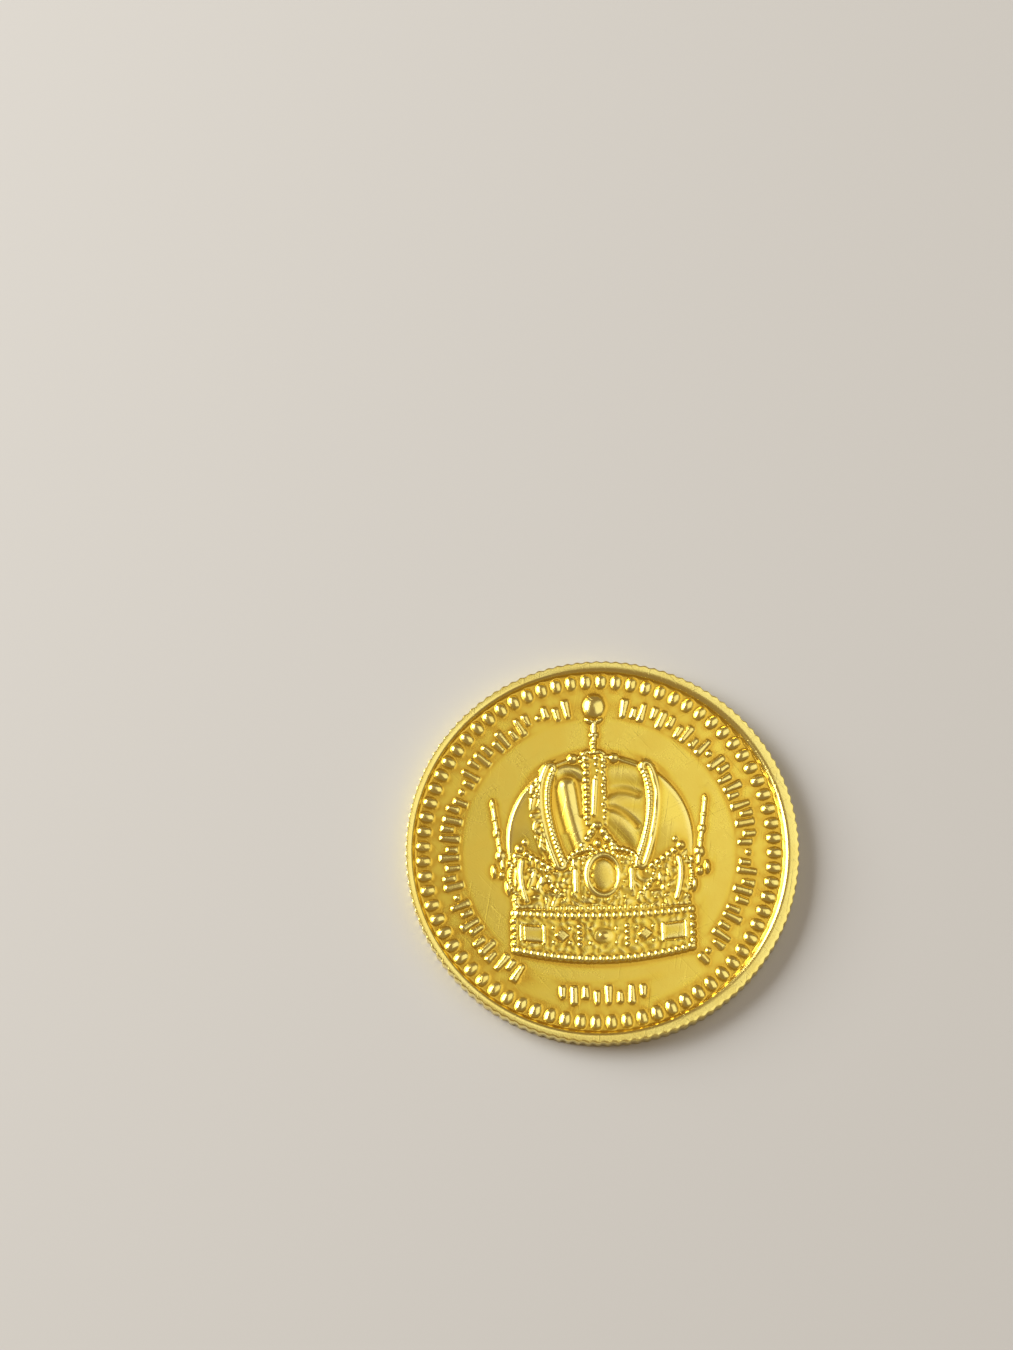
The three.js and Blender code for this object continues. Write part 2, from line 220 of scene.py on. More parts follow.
# ---------------------------------------------------------------------------------------------
# The crown's cap, in the same gold: two swelling halves of a mitre outside two bowed borders, and
# the folds of the lining in the opening between them.
# ---------------------------------------------------------------------------------------------
CAP_X = 0.08
CAP_HALF = 4.75
CAP_NARROWS = 0.3   # by how much it is narrower at its foot
CAP_SPRING = 0.5
CAP_TOP = 5.05
CAP_FOOT = -3.0
CAP_LIFT = 0.05
LOBE_LIFT = 0.185
LOBE_EDGE = 0.2     # width of the steep edge of a mitre half
LOBE_STEP = 0.06    # height of that edge
LOBE_WIDE = 1.45    # how far inside the edge it is highest
BORDER_BOW = ((2.45, 4.3), (2.8, 2.2), (2.05, -0.75))
BORDER_LIFT = 0.22
RIDGE_OUT = 0.19    # from the border's middle to each of its two ridges
RIDGE_HALF = 0.21
TICK = 0.24         # pitch of the cuts across the inner ridge
TICK_DEPTH = 0.02   # half their depth
BED_SHARE = 0.6     # height of the bed under both ridges, as a share of theirs
TRIM_BOW = ((2.95, 3.95), (3.27, 2.1), (2.72, -0.3))
TRIM_HALF = 0.3
TRIM_EDGE = 0.12    # width of the band's sloping edge
TRIM_BED = 0.03
TRIM_LIFT = 0.07    # of its lumps, with the bed under them
TRIM_PITCH = 0.42
# folds of the lining: the three points of a bow along the crest, half width, lift. A fold with a
# lift below zero is a crease.
FOLDS = (
    (((-2.1, 4.1), (-1.4, 4.25), (-0.7, 3.9)), 0.45, 0.09),
    (((-1.5, 3.35), (-1.25, 1.8), (-0.8, 0.2)), 0.58, 0.13),
    (((-2.15, 3.2), (-2.05, 2.2), (-1.75, 1.0)), 0.24, -0.025),
    (((-0.98, 3.5), (-0.86, 2.8), (-0.8, 1.9)), 0.3, -0.07),
    (((0.0, 3.9), (1.4, 4.05), (2.9, 3.6)), 0.65, 0.045),
    (((0.0, 1.9), (1.3, 1.6), (2.6, 1.3)), 1.3, 0.07),
    (((0.3, 2.7), (1.1, 3.1), (2.05, 2.85)), 0.3, -0.035),
    (((0.3, 2.3), (1.1, 2.6), (2.9, 2.45)), 0.42, 0.022),
    (((0.1, 2.1), (1.0, 2.05), (1.95, 1.2)), 0.28, -0.045),
    (((0.1, 1.65), (0.95, 1.5), (1.9, 0.3)), 0.42, 0.022),
)


def soft_step(t):
    """3 t^2 - 2 t^3 with t held between 0 and 1: a rise with soft ends."""
    t = np.clip(t, 0, 1)
    return t * t * (3 - 2 * t)


def bow_points(top, middle, foot, count=25):
    """A parabola through three points: (1-t)^2 top + 2 t (1-t) pull + t^2 foot, where pull is twice
    the middle point less half the sum of the other two."""
    t = np.linspace(0, 1, count)[:, None]
    pull = 2 * np.array(middle) - (np.array(top) + np.array(foot)) / 2
    return (1 - t) ** 2 * np.array(top) + 2 * t * (1 - t) * pull + t * t * np.array(foot)


def from_bow(x, y, points):
    """Offset to the left of a bow and length run along it, from the nearest of its straight bits."""
    start = points[:-1]
    run = np.diff(points, axis=0)
    bit = np.hypot(*run.T)
    reached = np.concatenate([[0], np.cumsum(bit)[:-1]])
    dx = x[:, None] - start[:, 0]
    dy = y[:, None] - start[:, 1]
    part = np.clip((dx * run[:, 0] + dy * run[:, 1]) / bit**2, 0, 1)
    gap = np.hypot(dx - part * run[:, 0], dy - part * run[:, 1])
    nearest = gap.argmin(axis=1)
    row = np.arange(len(x))
    side = np.sign(run[nearest, 0] * dy[row, nearest] - run[nearest, 1] * dx[row, nearest])
    return side * gap[row, nearest], reached[nearest] + part[row, nearest] * bit[nearest]


def turned(x, y, turn, at=(0, 0)):
    """Distances from a point along two axes turned by an angle: dx cos + dy sin, and dy cos - dx sin."""
    dx = x - at[0]
    dy = y - at[1]
    return dx * math.cos(turn) + dy * math.sin(turn), dy * math.cos(turn) - dx * math.sin(turn)


def chased(x, y, pitch, depth):
    """Hammered ground: depth times the mean of three cosine waves that run 60 degrees apart, each
    bent by a slower wave, so that the lumps are uneven."""
    total = np.zeros_like(x)
    for turn, slow in ((0.35, 2.3), (1.4, 2.9), (2.45, 3.7)):
        along, across = turned(x, y, turn)
        slow_wave = 2 * np.pi / (slow * pitch)
        bend = 0.3 * np.sin(slow_wave * across) + 0.2 * np.sin(slow_wave * along)
        total += np.cos(2 * np.pi * (along / pitch + bend))
    return depth * total / 3 * 1.4


def cap(x, y):
    """The cap's ground with a sloping edge. Each half of the mitre rises by a steep quarter round at
    its edge and by a quarter of a sine wave further in, and the left one has a band of lumps. A fold
    adds lift (1 - (offset / half)^2)^2 along its bow."""
    across = x - CAP_X
    rise = np.maximum(y - CAP_SPRING, 0) / (CAP_TOP - CAP_SPRING)
    half = CAP_HALF - CAP_NARROWS * soft_step((CAP_SPRING - y) / 3)
    inside = (1 - np.hypot(across / half, rise)) * CAP_HALF
    inside = np.where(y < CAP_FOOT, -1, inside)
    border_line = bow_points(*BORDER_BOW)
    border = np.interp(-y, -border_line[:, 1], border_line[:, 0])
    on_lobe = soft_step((np.abs(across) - border) / 0.1 + 0.5) * soft_step((y + 0.9) / 2.2)
    edge = np.sqrt(np.clip(1 - (1 - np.clip(inside / LOBE_EDGE, 0, 1)) ** 2, 0, 1))
    inner = np.sin(np.pi / 2 * np.clip(inside / LOBE_WIDE, 0, 1))
    swell = LOBE_STEP * edge + (LOBE_LIFT - CAP_LIFT - LOBE_STEP) * inner
    ground = CAP_LIFT * np.clip(inside / 0.1, -3, 1)
    height = np.where(inside > 0, ground + swell * on_lobe, ground)
    trim = (across < 0) & (across > -4.5) & (y > -0.6) & (y < 4.4) & (inside > 0.05)
    offset = from_bow(-across[trim], y[trim], bow_points(*TRIM_BOW))[0]
    on_trim = np.clip((TRIM_HALF - np.abs(offset)) / TRIM_EDGE, 0, 1)
    lumps = chased(across[trim], y[trim], TRIM_PITCH, TRIM_LIFT - TRIM_BED)
    height[trim] += on_trim * (TRIM_BED + lumps)
    opening = (np.abs(across) < border + 0.1) & (y > -0.3) & (inside > 0.05)
    fade = soft_step((inside[opening] - 0.05) / 0.3)
    for points_of_bow, half, lift in FOLDS:
        offset = from_bow(x[opening], y[opening], bow_points(*points_of_bow, count=9))[0]
        height[opening] += fade * lift * np.clip(1 - (offset / half) ** 2, 0, 1) ** 2
    return height


def borders(x, y):
    """Each border is two round ridges along a bow, the inner one cut by a wave of ticks."""
    height = np.full_like(x, -1.0)
    for side in (-1, 1):
        near = np.abs((x - CAP_X) * side - 2.6) < 1.0
        near &= (y > -1.5) & (y < 5.2)
        offset, run = from_bow((x[near] - CAP_X) * side, y[near], bow_points(*BORDER_BOW))
        ticked = BORDER_LIFT - TICK_DEPTH / 2 + TICK_DEPTH * np.cos(2 * np.pi * run / TICK)
        inner = round_top(((offset + RIDGE_OUT) / RIDGE_HALF) ** 2, ticked)
        outer = round_top(((offset - RIDGE_OUT) / RIDGE_HALF) ** 2, BORDER_LIFT)
        bed = BORDER_LIFT * BED_SHARE * np.clip((RIDGE_OUT + RIDGE_HALF - np.abs(offset)) / 0.08, -3, 1)
        height[near] = np.maximum(height[near], np.maximum(np.maximum(inner, outer), bed))
    return height


# ---------------------------------------------------------------------------------------------
# The crown's arch and its top, in the same gold: a pearled arch seen from its end, a small cross
# with pearls on its arms, and above it a round stone in a cup on a knopped stem.
# ---------------------------------------------------------------------------------------------
ARCH_X = -0.08
ARCH_HALF = 0.6
ARCH_FOOT = 1.2
ARCH_TOP = 4.9
ARCH_LIFT = 0.14
ARCH_DOMES = 10
ARCH_PEARLS = 9
ARCH_PITCH = 0.39
ARCH_STRIP = ((-0.06, 3.6), (-0.2, 1.85))
PEARL_TOP = 0.235
SEAM = 0.02           # how softly a detail meets its ground
PEARL_SEAM = 0.015    # the same round a pearl
STONE_SEAM = 0.01     # the same round a set stone
CROSS_AT = (-0.15, 4.8)
CROSS_ARM = 1.06
CROSS_HEAD = 5.6
# leaves of an arm: lean in degrees, place out and up from the cross's middle, half length
ARM_LEAVES = ((-30, 0.42, 0.3, 0.32), (-8, 0.6, 0.08, 0.36), (20, 0.5, -0.2, 0.32))
ARM_LEAF_HALF = 0.14
ARM_LEAF_LIFT = 0.16
# domes of the upright: place out and up from the cross's middle, half width, half height, lift
UPRIGHT_DOMES = (
    (0.2, 0.0, 0.19, 0.2, 0.215), (0.12, 0.32, 0.22, 0.17, 0.19), (-0.12, 0.3, 0.14, 0.14, 0.17),
    (0.04, 0.58, 0.16, 0.15, 0.18), (0.04, 0.82, 0.18, 0.17, 0.2),
)
STEM_X = -0.06
STEM_TOP = 6.75
# knops of the stem: height up the crown, half width, half height, lift
KNOPS = ((6.05, 0.27, 0.17, 0.16), (6.4, 0.17, 0.13, 0.15))
STONE_AT = (0, 7.58)


def over(ground, detail, soft=SEAM):
    """The higher of two heights, with the crease where they meet filled to a quarter of soft."""
    near = np.clip(1 - np.abs(ground - detail) / soft, 0, 1)
    return np.maximum(ground, detail) + near * near * soft / 4


def dome(x, y, at, across, along, lift, lean=0, base=0, power=0.75):
    """base + the round top of an ellipse: share is (u / across)^2 + (v / along)^2, turned by lean."""
    u, v = turned(x, y, math.radians(lean), at)
    top = round_top((u / across) ** 2 + (v / along) ** 2, lift - base, power)
    return np.where(top > 0, base + top, top)


def bar(x, y, start, end, half, lift, power=0.5):
    """A ridge with round ends: share is (distance from the line between two points / half)^2."""
    run = np.subtract(end, start)
    along = ((x - start[0]) * run[0] + (y - start[1]) * run[1]) / (run @ run)
    held = np.clip(along, 0, 1)
    gap = np.hypot(x - start[0] - held * run[0], y - start[1] - held * run[1])
    return round_top((gap / half) ** 2, lift, power)


def block(x, y, left, bottom, right, top, lift, bevel=0.08):
    """A flat-topped block: lift times the distance inside its edges over the bevel, held at 1."""
    inside = np.minimum(np.minimum(x - left, right - x), np.minimum(y - bottom, top - y))
    return lift * np.clip(inside / bevel, -3, 1)


def arch(x, y):
    """A block with a column of large domes on its left, a short smooth strip in the middle and rows
    of uneven small domes on its right."""
    left = ARCH_X - ARCH_HALF
    height = block(x, y, left, ARCH_FOOT, ARCH_X + ARCH_HALF, ARCH_TOP, ARCH_LIFT)
    for step in range(ARCH_DOMES):
        sway = 0.05 * math.sin(step * 2.4)
        wide = 0.15 + 0.03 * math.sin(step * 1.7)
        at = (0.36 + sway, 1.65 + 0.34 * step)
        height = over(height, dome(x, y, at, wide, 0.17, 0.21, 20, base=0.05))
        if step > 5:
            at = (0.02 - sway, 1.75 + 0.34 * step)
            height = over(height, dome(x, y, at, wide, 0.16, 0.2, base=0.05))
    height = over(height, bar(x, y, *ARCH_STRIP, 0.23, 0.22, 0.7))
    for pearl in range(ARCH_PEARLS):
        at = (left + 0.17, CROSS_AT[1] - pearl * ARCH_PITCH)
        height = over(height, dome(x, y, at, 0.22, 0.21, PEARL_TOP, base=0.06, power=0.65), PEARL_SEAM)
    return height


def cross(x, y):
    """An upright of uneven domes, three leaning leaves on each side for the arms with a dome at the
    end of each, and a thin ridge that follows the cap's top on both sides."""
    cx, cy = CROSS_AT
    height = np.full_like(x, -1.0)
    for side in (-1, 1):
        for lean, out, up, long in ARM_LEAVES:
            blade = dome(x, y, (cx + side * out, cy + up), long, ARM_LEAF_HALF,
                         ARM_LEAF_LIFT, side * lean)
            height = over(height, blade)
        ridge = bar(x, y, (cx + side * 1.35, cy - 0.1), (cx + side * 2.2, cy - 0.42), 0.08, 0.12)
        height = over(height, ridge)
        pearl = dome(x, y, (cx + side * CROSS_ARM, cy), 0.27, 0.26, PEARL_TOP, base=0.05, power=0.6)
        height = over(height, pearl, PEARL_SEAM)
    for out, up, across, along, lift in UPRIGHT_DOMES:
        height = over(height, dome(x, y, (cx + out, cy + up), across, along, lift))
    return height


def stone(x, y):
    """A thin stem with two knops, a cup as two leaning domes, and the stone as a high round dome
    in a thin collar."""
    height = bar(x, y, (-0.08, CROSS_HEAD), (-0.05, STEM_TOP), 0.13, 0.13)
    for up, across, along, lift in KNOPS:
        height = over(height, dome(x, y, (STEM_X, up), across, along, lift))
    for side in (-1, 1):
        cup = dome(x, y, (side * 0.22 - 0.05, STEM_TOP + 0.06), 0.3, 0.13, 0.15, side * 30)
        height = over(height, cup)
    collar = dome(x, y, STONE_AT, 0.64, 0.72, 0.09)
    return over(over(height, collar), dome(x, y, STONE_AT, 0.52, 0.6, 0.225, base=0.05), PEARL_SEAM)


# ---------------------------------------------------------------------------------------------
# The plate in the middle of the crown's front, in the same gold: an oval gem in a raised setting
# between two posts, a pearled gable over it, and two bowed ropes over each shoulder.
# ---------------------------------------------------------------------------------------------
GABLE_APEX = (-0.03, 1.38)
GABLE_HALF = 0.86
GABLE_FOOT = 0.1
GABLE_PEARLS = 4
PLATE_X = 0.22
PLATE_HALF = 1.65
PLATE_TOP = -0.3
PLATE_FOOT = -2.85
PLATE_LIFT = 0.13
PLATE_LUMPS = 0.02
GEM_AT = (0.18, -1.34)
GEM_ACROSS = 0.62
GEM_ALONG = 0.86
SETTING_OUT = 0.20    # from the gem's edge to the crest of the raised rim round it
SETTING_HALF = 0.17
SETTING_PEARLS = 24
PEARLS_OUT = (0.5, 0.42)    # from the gem's edge to those pearls, across and along
POST_OUT = 1.42
FOOT_DOMES = 4
# ropes over a shoulder: three points of the bow, counted from the plate's middle, then half width,
# lift and pitch
SHOULDER_ROPES = (
    (((0.5, 0.0), (1.35, -0.14), (1.95, -0.75)), 0.14, 0.17, 0.26),
    (((0.75, -0.36), (1.25, -0.5), (1.6, -0.95)), 0.11, 0.15, 0.22),
)


def rope(x, y, points_of_bow, half, lift, pitch):
    """A ridge along a bow whose height and width swell by a wave of the length run."""
    height = np.full_like(x, -1.0)
    line = bow_points(*points_of_bow, count=13)
    low = line.min(axis=0) - 0.4
    high = line.max(axis=0) + 0.4
    near = (x > low[0]) & (x < high[0]) & (y > low[1]) & (y < high[1])
    offset, run = from_bow(x[near], y[near], line)
    wave = np.cos(2 * np.pi * run / pitch)
    height[near] = round_top((offset / (half * (1 + 0.12 * wave))) ** 2, lift * (1 + 0.22 * wave))
    return height


def gable(x, y):
    """Two legs from the apex to the ledge, with domes along them and one between their feet."""
    height = np.full_like(x, -1.0)
    for side in (-1, 1):
        foot = (GABLE_APEX[0] + side * GABLE_HALF, GABLE_FOOT)
        height = np.maximum(height, bar(x, y, foot, GABLE_APEX, 0.2, 0.15))
        for step in range(GABLE_PEARLS):
            share = (step + 0.35) / (GABLE_PEARLS - 0.3)
            at = (foot[0] + (GABLE_APEX[0] - foot[0]) * share,
                  foot[1] + (GABLE_APEX[1] - foot[1]) * share)
            height = over(height, dome(x, y, at, 0.2, 0.2, 0.225, base=0.07), PEARL_SEAM)
        height = over(height, dome(x, y, (GABLE_APEX[0] + side * 0.4, 0.14), 0.16, 0.16, 0.18), PEARL_SEAM)
    return over(height, dome(x, y, (GABLE_APEX[0], 0.33), 0.23, 0.26, 0.22), PEARL_SEAM)


def plate(x, y):
    """A block with a chased ground. The gem is a dome, and its setting a ridge a little outside it,
    broader on its left, with domes round it. The posts are bars, ropes follow bows over both
    shoulders, and leaning domes stand along the foot."""
    height = block(x, y, PLATE_X - PLATE_HALF, PLATE_FOOT, PLATE_X + PLATE_HALF, PLATE_TOP, PLATE_LIFT)
    height = height + np.where(height > 0.05, chased(x, y, 0.52, PLATE_LUMPS), 0)
    for side in (-1, 1):
        for bow, half, lift, pitch in SHOULDER_ROPES:
            bow_here = [(PLATE_X + side * out, up) for out, up in bow]
            height = over(height, rope(x, y, bow_here, half, lift, pitch))
        post_x = PLATE_X + side * POST_OUT
        height = over(height, bar(x, y, (post_x, -1.1), (post_x, -2.15), 0.16, 0.2))
        for step in range(FOOT_DOMES):
            at = (PLATE_X + side * (0.2 + 0.42 * step), -2.62 + 0.07 * step)
            height = over(height, dome(x, y, at, 0.2, 0.14, 0.17, side * 30))
    for pearl in range(SETTING_PEARLS):
        turn = 2 * math.pi * pearl / SETTING_PEARLS
        at = (GEM_AT[0] + (GEM_ACROSS + PEARLS_OUT[0]) * math.sin(turn),
              GEM_AT[1] + (GEM_ALONG + PEARLS_OUT[1]) * math.cos(turn))
        height = over(height, dome(x, y, at, 0.13, 0.13, 0.165, base=0.05), PEARL_SEAM)
    across = (x - GEM_AT[0]) / (GEM_ACROSS + SETTING_OUT)
    share = np.hypot(across, (y - GEM_AT[1]) / (GEM_ALONG + SETTING_OUT))
    half = SETTING_HALF * (1 - 0.35 * np.clip(across, -1, 1))
    rim = round_top(((share - 1) * (GEM_ACROSS + SETTING_OUT) / half) ** 2, 0.21, 0.75)
    height = over(np.where(share < 1, np.minimum(height, 0.06), height), rim, PEARL_SEAM)
    gem = dome(x, y, GEM_AT, GEM_ACROSS, GEM_ALONG, 0.18, 8, base=0.04, power=0.32)
    return over(height, gem, STONE_SEAM)


# ---------------------------------------------------------------------------------------------
# The lilies on the circlet, in the same gold: a large and a small one on each side, each of three
# petals under pearls, and beyond them the two spikes that are seen edge-on.
# ---------------------------------------------------------------------------------------------
SPIKE_TOP = (5.42, 2.5)
SPIKE_FOOT = (4.95, -0.8)
# petals in the shape of ropes: three points of the bow, half width, lift, pitch
LILY_ROPES = (
    (((4.0, -0.55), (4.05, -1.5), (3.8, -2.6)), 0.17, 0.2, 9),
    (((3.75, -0.15), (3.1, -0.6), (2.5, -0.95)), 0.17, 0.19, 0.34),
    (((4.3, -0.5), (4.6, -1.2), (4.45, -2.1)), 0.12, 0.15, 0.3),
)
LOW_ROPE = (((2.75, -1.05), (2.5, -1.8), (1.95, -2.35)), 0.14, 0.16, 0.3)
# pearls, ovals and curled tips: place, half width, half height, lean in degrees, lift
LILY_DOMES = (
    (4.1, 0.12, 0.27, 0.27, 0, 0.235), (3.82, 0.45, 0.22, 0.22, 0, 0.21),
    (3.0, -1.55, 0.17, 0.4, 6, 0.21), (3.42, -1.25, 0.15, 0.42, 18, 0.18),
    (3.45, -1.95, 0.2, 0.14, 30, 0.17), (4.62, -0.62, 0.16, 0.2, 0, 0.17),
    (4.72, -1.9, 0.15, 0.4, -8, 0.19), (4.33, -2.5, 0.22, 0.16, -25, 0.18),
    (3.3, -2.45, 0.28, 0.16, 20, 0.19), (2.75, -2.55, 0.2, 0.15, -20, 0.16),
    (2.35, -1.2, 0.18, 0.14, 40, 0.16), (3.0, -0.98, 0.15, 0.16, 0, 0.18),
)
GROUND_END = 4.5
GROUND_TOP = -0.95
GROUND_FOOT = -3.1
GROUND_LIFT = 0.12
GROUND_LUMPS = 0.03
OPENING_AT = (2.62, -1.95)
OPENING_ACROSS = 0.42
OPENING_ALONG = 0.32
OPENING_DEEP = 0.09
SPIKE_HALF = 0.1
SPIKE_LIFT = 0.12
KNOB_LIFT = 0.17
# knobs up the spike: share of its height, half width, half height
SPIKE_KNOBS = (
    (1.0, 0.12, 0.28), (0.76, 0.15, 0.15), (0.54, 0.2, 0.27), (0.36, 0.14, 0.13), (0.18, 0.28, 0.3),
)
# the petal and the oval at its foot: place, half width, half height, lift
SPIKE_PETALS = (((5.4, -1.02), 0.17, 0.36, 0.2), ((5.02, -1.2), 0.2, 0.24, 0.16))


def lily(u, y):
    """A large lily and its small neighbour, with u counted outwards from the crown's middle: petals
    are bent ridges, ovals and small domes for the curled tips, and pearls stand above them."""
    height = np.full_like(u, -1.0)
    for bow, half, lift, pitch in LILY_ROPES:
        height = over(height, rope(u, y, bow, half, lift, pitch))
    for at_x, at_y, across, along, lean, lift in LILY_DOMES:
        height = over(height, dome(u, y, (at_x, at_y), across, along, lift, lean), PEARL_SEAM)
    return over(height, rope(u, y, *LOW_ROPE))


def spike(u, y):
    """A thin bar with domes strung on it, and the broad petal and oval at its foot."""
    height = bar(u, y, SPIKE_FOOT, SPIKE_TOP, SPIKE_HALF, SPIKE_LIFT)
    for up, across, along in SPIKE_KNOBS:
        at = (SPIKE_FOOT[0] + (SPIKE_TOP[0] - SPIKE_FOOT[0]) * up,
              SPIKE_FOOT[1] + (SPIKE_TOP[1] - SPIKE_FOOT[1]) * up)
        height = over(height, dome(u, y, at, across, along, KNOB_LIFT))
    for at, across, along, lift in SPIKE_PETALS:
        height = over(height, dome(u, y, at, across, along, lift))
    return height


def lilies(x, y):
    """The lilies of both sides on a chased ground that rises outwards from the plate and has an oval
    hollow on each side, and the spikes outside them."""
    out = np.abs(x - CAP_X)
    top = GROUND_TOP + 0.5 * np.clip(out - 2.3, 0, 1.9)
    inside = np.minimum(np.minimum(GROUND_END - out, top - y), y - GROUND_FOOT)
    height = GROUND_LIFT * np.clip(inside / 0.15, -3, 1)
    height = height + np.where(height > 0.05, chased(x, y, 0.5, GROUND_LUMPS), 0)
    share = ((out - OPENING_AT[0]) / OPENING_ACROSS) ** 2 + ((y - OPENING_AT[1]) / OPENING_ALONG) ** 2
    height = np.where(share < 1, height - OPENING_DEEP * (1 - share) ** 0.5, height)
    for side in (-1, 1):
        u = side * (x - CAP_X)
        height = over(height, lily(u, y))
        height = over(height, spike(u, y))
    return height


# ---------------------------------------------------------------------------------------------
# The circlet, the crown's foot band, in the same gold: a chased band between rows of pearls, with square
# plates between posts, lozenges among pearls, strips of pearls, and an oval stone in its setting. Its
# lower row sags as a ring seen from above does.
# ---------------------------------------------------------------------------------------------
BAND_X = 0.12
BAND_HALF = 4.55
UPPER_ROW = ((-4.45, -3.22), (0, -3.45), (4.45, -3.22))
LOWER_ROW = ((-4.45, -5.1), (0, -5.68), (4.45, -5.1))
TOP_ROW = ((-4.35, -2.86), (0, -3.08), (4.35, -2.86))
# the two large rows, and the small one above them: half width, lift, pitch
LARGE_PEARLS = (0.2, 0.2, 0.35)
SMALL_PEARLS = (0.13, 0.15, 0.27)
BAND_LIFT = 0.12
BAND_TOP = -3.0
BAND_FOOT = -5.2
BAND_LUMPS = 0.012
BAND_MIDDLE = -4.2    # height of the band's middle line at its ends
FOOT_SAG = 0.58
MIDDLE_SAG = 0.3
SQUARE_OUT = 3.55
SQUARE_HALF = (0.56, 0.46)
SQUARE_LIFT = 0.15
# posts beside the square plate: place, half height, half width, lift
BAND_POSTS = ((3.0, 0.42, 0.12, 0.2), (4.16, 0.38, 0.1, 0.17))
LOZENGE_OUT = 2.1
LOZENGE_HALF = (0.52, 0.46)
LOZENGE_LIFT = 0.22
# pearls of the strip, round the lozenge and beside the stone: half width, half height, place, lift
BAND_PEARLS = [(0.17, 0.16, 1.2, up, 0.21) for up in (0.47, 0.16, -0.15, -0.46)]
BAND_PEARLS += [(0.15, 0.14, out, up, 0.18) for up in (0.37, -0.37) for out in (1.68, 2.52)]
BAND_PEARLS += [(0.16, 0.14, 0.66, up, 0.17) for up in (0.37, -0.37)]
# half width, half height and lift of the setting and the stone in the middle, and of an end knob
BAND_SETTING = (0.6, 0.45, 0.19)
BAND_STONE = (0.4, 0.29, 0.24)
KNOB_SIZE = (0.19, 0.2, 0.2)
KNOBS_OUT = 4.5
KNOBS_UP = (-3.62, -4.02, -4.45, -4.83)
BED_LIFT = 0.45       # height of the bed under a row of pearls, as a share of theirs


def pearl_row(x, y, ends, half, lift, pitch):
    """Domes along a bow: share is (offset / half)^2 + (distance from the pearl / half pitch)^2. They
    stand on a low bed."""
    offset, run = from_bow(x, y, bow_points(*ends, count=41))
    from_pearl = np.mod(run, pitch) - pitch / 2
    share = (offset / half) ** 2 + (from_pearl / (pitch * 0.5)) ** 2
    pearls = round_top(share, lift * (1 - BED_LIFT))
    pearls = np.where(pearls > 0, lift * BED_LIFT + pearls, -1)
    bed = lift * BED_LIFT * np.clip((half * 1.1 - np.abs(offset)) / 0.08, -3, 1)
    return np.maximum(pearls, bed)


def circlet(x, y):
    """The band between its rows with a chased ground. On each half stand a square plate, two bars for
    posts, domes for pearls, and a lozenge, which falls evenly with the distance from its middle. An
    oval setting and its stone are in the middle, then come the rows of pearls and the end knobs."""
    height = np.full_like(x, -1.0)
    near = (np.abs(x) < 5.2) & (y < -2.5) & (y > -6.2)
    px = x[near] - BAND_X
    py = y[near]
    sag = 1 - (px / BAND_HALF) ** 2
    inside = np.minimum(BAND_HALF - np.abs(px), BAND_TOP - py)
    inside = np.minimum(inside, py - BAND_FOOT + FOOT_SAG * sag)
    band = BAND_LIFT * np.clip(inside / 0.1, -3, 1)
    band = band + np.where(inside > 0.1, chased(px, py, 0.46, BAND_LUMPS), 0)
    v = py - BAND_MIDDLE + MIDDLE_SAG * sag
    for side in (-1, 1):
        u = px * side
        square = np.minimum(SQUARE_HALF[0] - np.abs(u - SQUARE_OUT), SQUARE_HALF[1] - np.abs(v))
        plain = SQUARE_LIFT * np.clip(square / 0.1, -3, 1)
        band = np.where(square > 0, plain, over(band, plain))
        for out, up, half, lift in BAND_POSTS:
            band = over(band, bar(u, v, (out, -up), (out, up), half, lift), PEARL_SEAM)
        for across, along, out, up, lift in BAND_PEARLS:
            band = over(band, dome(u, v, (out, up), across, along, lift, base=0.04), PEARL_SEAM)
        lozenge = 1 - np.abs(u - LOZENGE_OUT) / LOZENGE_HALF[0] - np.abs(v) / LOZENGE_HALF[1]
        band = over(band, LOZENGE_LIFT * np.clip(lozenge / 0.4, -3, 1), PEARL_SEAM)
    band = over(band, dome(px, v, (0, 0), *BAND_SETTING, power=0.3), STONE_SEAM)
    band = over(band, dome(px, v, (0, 0), *BAND_STONE, base=0.04, power=0.6), STONE_SEAM)
    for ends, sizes in ((TOP_ROW, SMALL_PEARLS), (UPPER_ROW, LARGE_PEARLS), (LOWER_ROW, LARGE_PEARLS)):
        band = over(band, pearl_row(px, py, ends, *sizes))
    for side in (-1, 1):
        for up in KNOBS_UP:
            band = over(band, dome(px, py, (side * KNOBS_OUT, up), *KNOB_SIZE), PEARL_SEAM)
    height[near] = band
    return height


# ---------------------------------------------------------------------------------------------
# The plainer back, in the same gold: a smooth ridge inside the rim, a wreath of two leafy branches
# tied at the foot, and a rosette in the middle.
# ---------------------------------------------------------------------------------------------
LINE_RADIUS = 8.75
LINE_HALF = 0.22
LINE_LIFT = 0.1
WREATH_RADIUS = 5.9
WREATH_SPREAD = 0.42
WREATH_LEAVES = 10
WREATH_FROM = 16
WREATH_TO = 161
WREATH_LEAN = 24
BRANCH_HALF = 0.1
BRANCH_LIFT = 0.05
LEAF_ACROSS = 0.45
LEAF_ALONG = 1.05
VEIN = 0.03           # depth of a leaf's middle line
VEIN_HALF = 0.07
BACK_LIFT = 0.11
PETALS = 8
PETAL_REACH = 1.5
PETAL_ALONG = 0.95
PETAL_ACROSS = 0.42
BOSS_RADIUS = 0.55
BOSS_LIFT = 0.14
DIMPLE = 0.04


